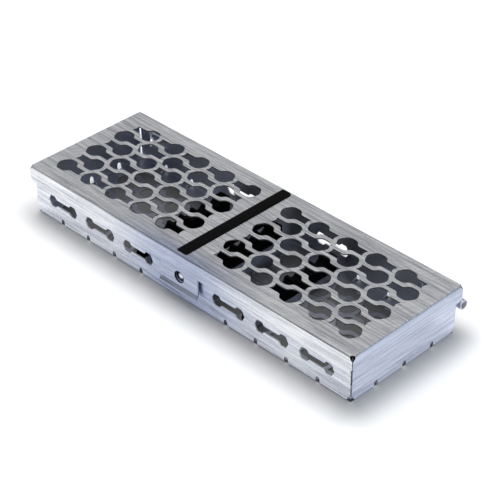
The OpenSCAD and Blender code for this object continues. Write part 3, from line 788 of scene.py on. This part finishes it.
class CASSETTE_OT_sheets(bpy.types.Operator):
    """Give the tray, the rails, the lid and the latch tongue their brushed steel"""
    bl_idname = "cassette.sheets"
    bl_label = "Folded sheets"

    def execute(self, context):
        settings = context.scene.cassette_sheets
        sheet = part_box("support_rail_centre")[0].z
        tray_low, tray_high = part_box("base_tray")
        lid_low, lid_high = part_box("lid_cover")
        # The boxes also hold the hinge knuckles, so the back walls mirror the front ones
        tray_half, lid_half = -tray_low.y, -lid_low.y
        pin = sum(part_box("hinge_pin_right"), Vector()) / 2
        stud = sum(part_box("latch_stud"), Vector()) / 2
        # The bores' painted light reaches a little past them, and the rings of painted shade past
        # the tongue's hole
        bore_reach, tray_ring, lid_ring = 2.7 * MM, 4.2 * MM, 4.05 * MM
        bore = (pin.y, pin.z, bore_reach)
        # A point more than this far into the sheet lies on its inner face
        into, under_top, rim = 0.6 * sheet, 0.9 * sheet, 0.1 * MM
        tray_inner = (
            (tray_low.x + into, tray_low.y + into, into),
            (tray_high.x - into, tray_half - into, tray_high.z - rim))
        lid_inner = (
            (lid_low.x + into, lid_low.y + into, lid_low.z),
            (lid_high.x - into, lid_half - into, lid_high.z - under_top))
        # The folds lie outside these margins, and spare keeps a panel's own face out of the mask
        fold, tray_end, lid_end, spare = 2 * MM, 3 * MM, 2.5 * MM, 0.02 * MM
        slot_low, slot_high, slot_end = 10 * MM, 19.5 * MM, 10 * MM
        tray_cuts = {
            "Panel_low": -MM, "Panel_high": sheet - spare,
            "Panel_half_length": tray_high.x - tray_end, "Panel_half_width": tray_half - fold,
            "Wall_low": slot_low, "Wall_high": slot_high,
            "Wall_half_length": tray_high.x - slot_end}
        # The lid's walls have no slots, so their place lies where the lid isn't
        lid_cuts = {
            "Panel_low": lid_high.z - sheet + spare, "Panel_high": lid_high.z + MM,
            "Panel_half_length": lid_high.x - lid_end, "Panel_half_width": lid_half - fold,
            "Wall_low": 1.0, "Wall_high": 2.0, "Wall_half_length": 0.0}
        # The tray's corners get painted shade all round, and the lid's where their relief slants
        corner, any_face, slanted = 5 * MM, -1.0, 0.08
        tray_crevice_shades = (
            tray_high.x - fold, tray_half - fold, tray_high.z - corner, any_face,
            sheet - tray_half, stud.z, tray_ring)
        lid_crevice_shades = (
            lid_high.x - corner, lid_half - corner, lid_high.z - corner, slanted,
            sheet - lid_half, stud.z, lid_ring)
        tray = brushed_steel(
            "tray_steel", tuple(settings.tray_colour), tuple(settings.tray_end_painted_shade),
            tuple(settings.tray_cut_painted_highlight), settings, tray_inner, tray_cuts, tray_crevice_shades, bore)
        lid = brushed_steel(
            "lid_steel", tuple(settings.lid_colour), tuple(settings.lid_end_painted_shade),
            tuple(settings.lid_cut_painted_shade), settings, lid_inner, lid_cuts, lid_crevice_shades, bore)
        give_material(TRAY_NODES, tray)
        give_material(LID_NODES, lid)
        round_edges(["latch_tongue", *TRAY_NODES[1:]], settings.edge_round)
        return {"FINISHED"}


class CASSETTE_OT_fittings(bpy.types.Operator):
    """Give the hinge pins, the rivets and the catch stud their bright steel"""
    bl_idname = "cassette.fittings"
    bl_label = "Pins, rivets and stud"

    def execute(self, context):
        settings = context.scene.cassette_sheets
        give_material(FITTING_NODES, turned_steel("fitting_steel", tuple(settings.fitting_colour)))
        round_edges(FITTING_NODES, settings.edge_round)
        return {"FINISHED"}


class CASSETTE_OT_supports(bpy.types.Operator):
    """Mould the three notched silicone supports"""
    bl_idname = "cassette.supports"
    bl_label = "Silicone supports"

    def execute(self, context):
        settings = context.scene.cassette_silicone
        material = silicone_material(settings)
        for side in SUPPORT_SIDES:
            node = "silicone_support_" + side
            low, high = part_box(node)
            if low.y > 0:
                raise RuntimeError(node + " isn't where a support belongs")
            outline = support_outline(high.y, low.z, high.z, settings)
            ends = [[(x, y, z) for y, z in outline] for x in (low.x, high.x)]
            piece = lofted("moulded_support_" + side, ends)
            add_bevel(piece, settings.edge_round, segments=3, sharp_angle=50)
            apply_modifiers(piece)
            finish_piece(piece, material, "tray", node)
        return {"FINISHED"}


class CASSETTE_OT_lid_bar(bpy.types.Operator):
    """Mould the silicone bar that grips the edges of the lid's slot"""
    bl_idname = "cassette.lid_bar"
    bl_label = "Silicone lid bar"

    def execute(self, context):
        settings = context.scene.cassette_silicone
        node = "lid_silicone_bar"
        low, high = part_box(node)
        half, front, back = high.x, low.y, high.y
        sheet = 0.8 * MM
        lid_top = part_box("lid_cover")[1].z
        under = lid_top - sheet
        # The body hangs under the lid, and its back end slopes
        body_half, body_front = half - 0.2 * MM, front + 1.7 * MM
        slope_foot, slope_head, head_height = back - 13.9 * MM, back - 5.9 * MM, 0.8 * MM
        # The neck fills the lid's slot, and the lip lies on the lid
        tip_round, lip_round, neck_in, round_steps = 1.2 * MM, 0.3 * MM, 1.2 * MM, 4
        # Corners seen from above: both front ones, back right, back left
        body_rounds = (1.2 * MM, 1.2 * MM, 1.2 * MM)
        neck_rounds = (0.6 * MM, 1.8 * MM, 1.8 * MM)
        lip_rounds = (1.0 * MM, 3.0 * MM, 0.8 * MM)
        turns = [math.radians(90 * i / round_steps) for i in range(round_steps + 1)]
        rings = []
        for turn in turns:
            inward = tip_round * (1 - math.sin(turn))
            rise = tip_round * (1 - math.cos(turn))
            rings.append(bar_ring(
                low.z + rise, body_half - inward, body_front + inward, slope_foot - inward + rise,
                *body_rounds))
        for z in (under - head_height, under):
            rings.append(bar_ring(z, body_half, body_front, slope_head, *body_rounds))
        for z in (under, lid_top):
            rings.append(bar_ring(z, half - neck_in, front + neck_in, back - neck_in, *neck_rounds))
        rings.append(bar_ring(lid_top, half, front, back, *lip_rounds))
        for turn in turns:
            inward = lip_round * (1 - math.cos(turn))
            z = high.z - lip_round * (1 - math.sin(turn))
            rings.append(bar_ring(z, half - inward, front + inward, back - inward, *lip_rounds))
        piece = lofted("moulded_lid_bar", rings)
        finish_piece(piece, silicone_material(settings), "lid", node)
        return {"FINISHED"}


def silicone_material(settings):
    """The black silicone, made once."""
    name = "moulded_silicone"
    return bpy.data.materials.get(name) or black_silicone(name, settings)


class CASSETTE_OT_stage(bpy.types.Operator):
    """Lay the floor and set the lamps, the surroundings and the camera"""
    bl_idname = "cassette.stage"
    bl_label = "Stage"

    def execute(self, context):
        settings = context.scene.cassette_stage
        context.scene.view_settings.view_transform = "Standard"
        make_floor(settings)
        make_world(settings)
        make_lamps()
        make_camera()
        return {"FINISHED"}


def make_floor(settings):
    """Pale matt floor, seen as white away from the object's shadow."""
    work = bmesh.new()
    bmesh.ops.create_grid(work, x_segments=8, y_segments=8, size=4.0)
    mesh = bpy.data.meshes.new("studio_floor")
    work.to_mesh(mesh)
    work.free()
    floor = bpy.data.objects.new("studio_floor", mesh)
    # A little under the case, so that their faces don't meet
    floor.location.z = -0.1 * MM
    bpy.context.scene.collection.objects.link(floor)
    material, tree, shader = new_material("floor_paint")
    place = put(tree, "ShaderNodeTexCoord").outputs["Object"]
    tooth_per_metre = 900.0
    tooth = noise_value(tree, place, tooth_per_metre)
    paint = mix_colour(
        tree, tooth, shaded(settings.floor_colour, 0.985), tuple(settings.floor_colour))
    # Painted shadow: the floor is darker where the case stands
    low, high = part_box("base_tray")
    inset = 0.8 * MM
    footprint_shadow = inside_mask(
        tree, (low.x + inset, low.y + inset, -1.0), (high.x - inset, -low.y - inset, 1.0))
    paint = mix_colour(tree, footprint_shadow, paint, tuple(settings.covered_shadow_colour))
    link_or_set(tree, shader.inputs["Base Color"], paint)
    shader.inputs["Roughness"].default_value = 0.9
    shader.inputs["Specular IOR Level"].default_value = 0.1
    shader.inputs["Emission Color"].default_value = (0.94, 0.96, 1.0, 1.0)
    # Painted shadow: what the camera sees of the glow starts at the foot of the case and grows away
    # from it
    spot = place_axes(tree)
    away = distance(tree, *(
        calc(tree, "MAXIMUM", calc(
            tree, "SUBTRACT", calc(tree, "ABSOLUTE", spot[axis]), half), 0.0)
        for axis, half in (("X", high.x), ("Y", -low.y))))
    path = put(tree, "ShaderNodeLightPath").outputs
    seen = calc(
        tree, "MULTIPLY", remap(tree, away, 0.0, settings.glow_reach), settings.floor_glow)
    seen = calc(tree, "MULTIPLY", seen, path["Is Camera Ray"])
    # Painted reflection: the steel mirrors the floor's glow also near the case, where the camera
    # sees its shadow
    mirrored = calc(tree, "MAXIMUM", path["Is Glossy Ray"], path["Is Transmission Ray"])
    hidden = calc(tree, "MULTIPLY", footprint_shadow, settings.mirror_glow)
    uncovered = calc(tree, "SUBTRACT", settings.mirror_glow, hidden)
    glow = calc(tree, "ADD", seen, calc(tree, "MULTIPLY", mirrored, uncovered))
    link_or_set(tree, shader.inputs["Emission Strength"], glow)
    mesh.materials.append(material)


def make_world(settings):
    """Plain pale surroundings, lighter at the horizon."""
    world = bpy.data.worlds.new("studio")
    bpy.context.scene.world = world
    world.use_nodes = True
    tree = world.node_tree
    tree.nodes.clear()
    direction = put(tree, "ShaderNodeTexCoord").outputs["Generated"]
    axes = put(tree, "ShaderNodeSeparateXYZ", {0: direction}).outputs
    level = remap(tree, axes["Z"], 0.0, 1.0, settings.world_low, settings.world_high)
    # Cooler light from the back right
    plain, cool, cool_side = (0.985, 0.99, 1.0), (0.84, 0.92, 1.0), (0.72, 0.62, 0.30)
    towards = put(
        tree, "ShaderNodeVectorMath", {0: direction, 1: cool_side}, operation="DOT_PRODUCT")
    tint = mix_colour(tree, remap(tree, towards.outputs["Value"], 0.2, 0.9), plain, cool)
    # The side of the latch is dimmer, as behind a camera
    level = calc(tree, "MULTIPLY", level, remap(tree, axes["Y"], -0.85, -0.25, 0.5, 1.0))
    surroundings = put(tree, "ShaderNodeBackground", {"Color": tint, "Strength": level})
    out = tree.nodes.new("ShaderNodeOutputWorld")
    tree.links.new(surroundings.outputs[0], out.inputs["Surface"])


LAMPS = [
    # name, place, size, power in watts, colour, whether polished faces mirror it
    ("key_lamp", (-0.70, 0.50, 1.60), (1.3, 1.3), 14.0, (1.0, 0.998, 0.99), False),
    ("top_lamp", (-0.20, 0.25, 1.75), (1.3, 1.3), 5.0, (1.0, 1.0, 1.0), True),
]


def make_lamps():
    """Large soft lamps, each turned to the middle of the case."""
    for name, place, size, power, tint, mirrored in LAMPS:
        data = bpy.data.lights.new(name, "AREA")
        data.shape = "RECTANGLE"
        data.size, data.size_y = size
        data.energy = power
        data.color = tint
        lamp = bpy.data.objects.new(name, data)
        bpy.context.scene.collection.objects.link(lamp)
        lamp.location = place
        lamp.visible_glossy = mirrored
        aim = -lamp.location
        lamp.rotation_euler = aim.to_track_quat("-Z", "Y").to_euler()


def make_camera():
    """Camera at the photograph's angle."""
    data = bpy.data.cameras.new("camera")
    data.lens = CAMERA_LENS
    data.clip_start, data.clip_end = 0.05, 20.0
    camera = bpy.data.objects.new("camera", data)
    bpy.context.scene.collection.objects.link(camera)
    camera.location = CAMERA_PLACE
    camera.rotation_euler = [math.radians(turn) for turn in CAMERA_TURNS]
    bpy.context.scene.camera = camera


class CASSETTE_PT_panel(bpy.types.Panel):
    """Lists the cassette's operators and settings"""
    bl_label = "Cassette"
    bl_idname = "CASSETTE_PT_panel"
    bl_space_type = "VIEW_3D"
    bl_region_type = "UI"
    bl_category = "Cassette"

    def draw(self, context):
        for operator in OPERATORS:
            self.layout.operator(operator.bl_idname)
        for holder in SETTINGS:
            box = self.layout.box()
            group = getattr(context.scene, holder)
            for name in type(group).__annotations__:
                box.prop(group, name)


OPERATORS = [
    CASSETTE_OT_sheets, CASSETTE_OT_fittings, CASSETTE_OT_supports, CASSETTE_OT_lid_bar,
    CASSETTE_OT_stage,
]
SETTINGS = {
    "cassette_sheets": CassetteSheetSettings,
    "cassette_silicone": CassetteSiliconeSettings,
    "cassette_stage": CassetteStageSettings,
}


def register():
    """Registers the settings, the operators and the panel."""
    for cls in (*SETTINGS.values(), *OPERATORS, CASSETTE_PT_panel):
        bpy.utils.register_class(cls)
    for name, cls in SETTINGS.items():
        setattr(bpy.types.Scene, name, PointerProperty(type=cls))


def unregister():
    """Removes what register made."""
    for name in SETTINGS:
        delattr(bpy.types.Scene, name)
    for cls in (CASSETTE_PT_panel, *reversed(OPERATORS), *reversed(SETTINGS.values())):
        bpy.utils.unregister_class(cls)


def main():
    """Runs every operator in order."""
    register()
    bpy.ops.cassette.sheets()
    bpy.ops.cassette.fittings()
    bpy.ops.cassette.supports()
    bpy.ops.cassette.lid_bar()
    bpy.ops.cassette.stage()


if __name__ == "__main__":
    main()
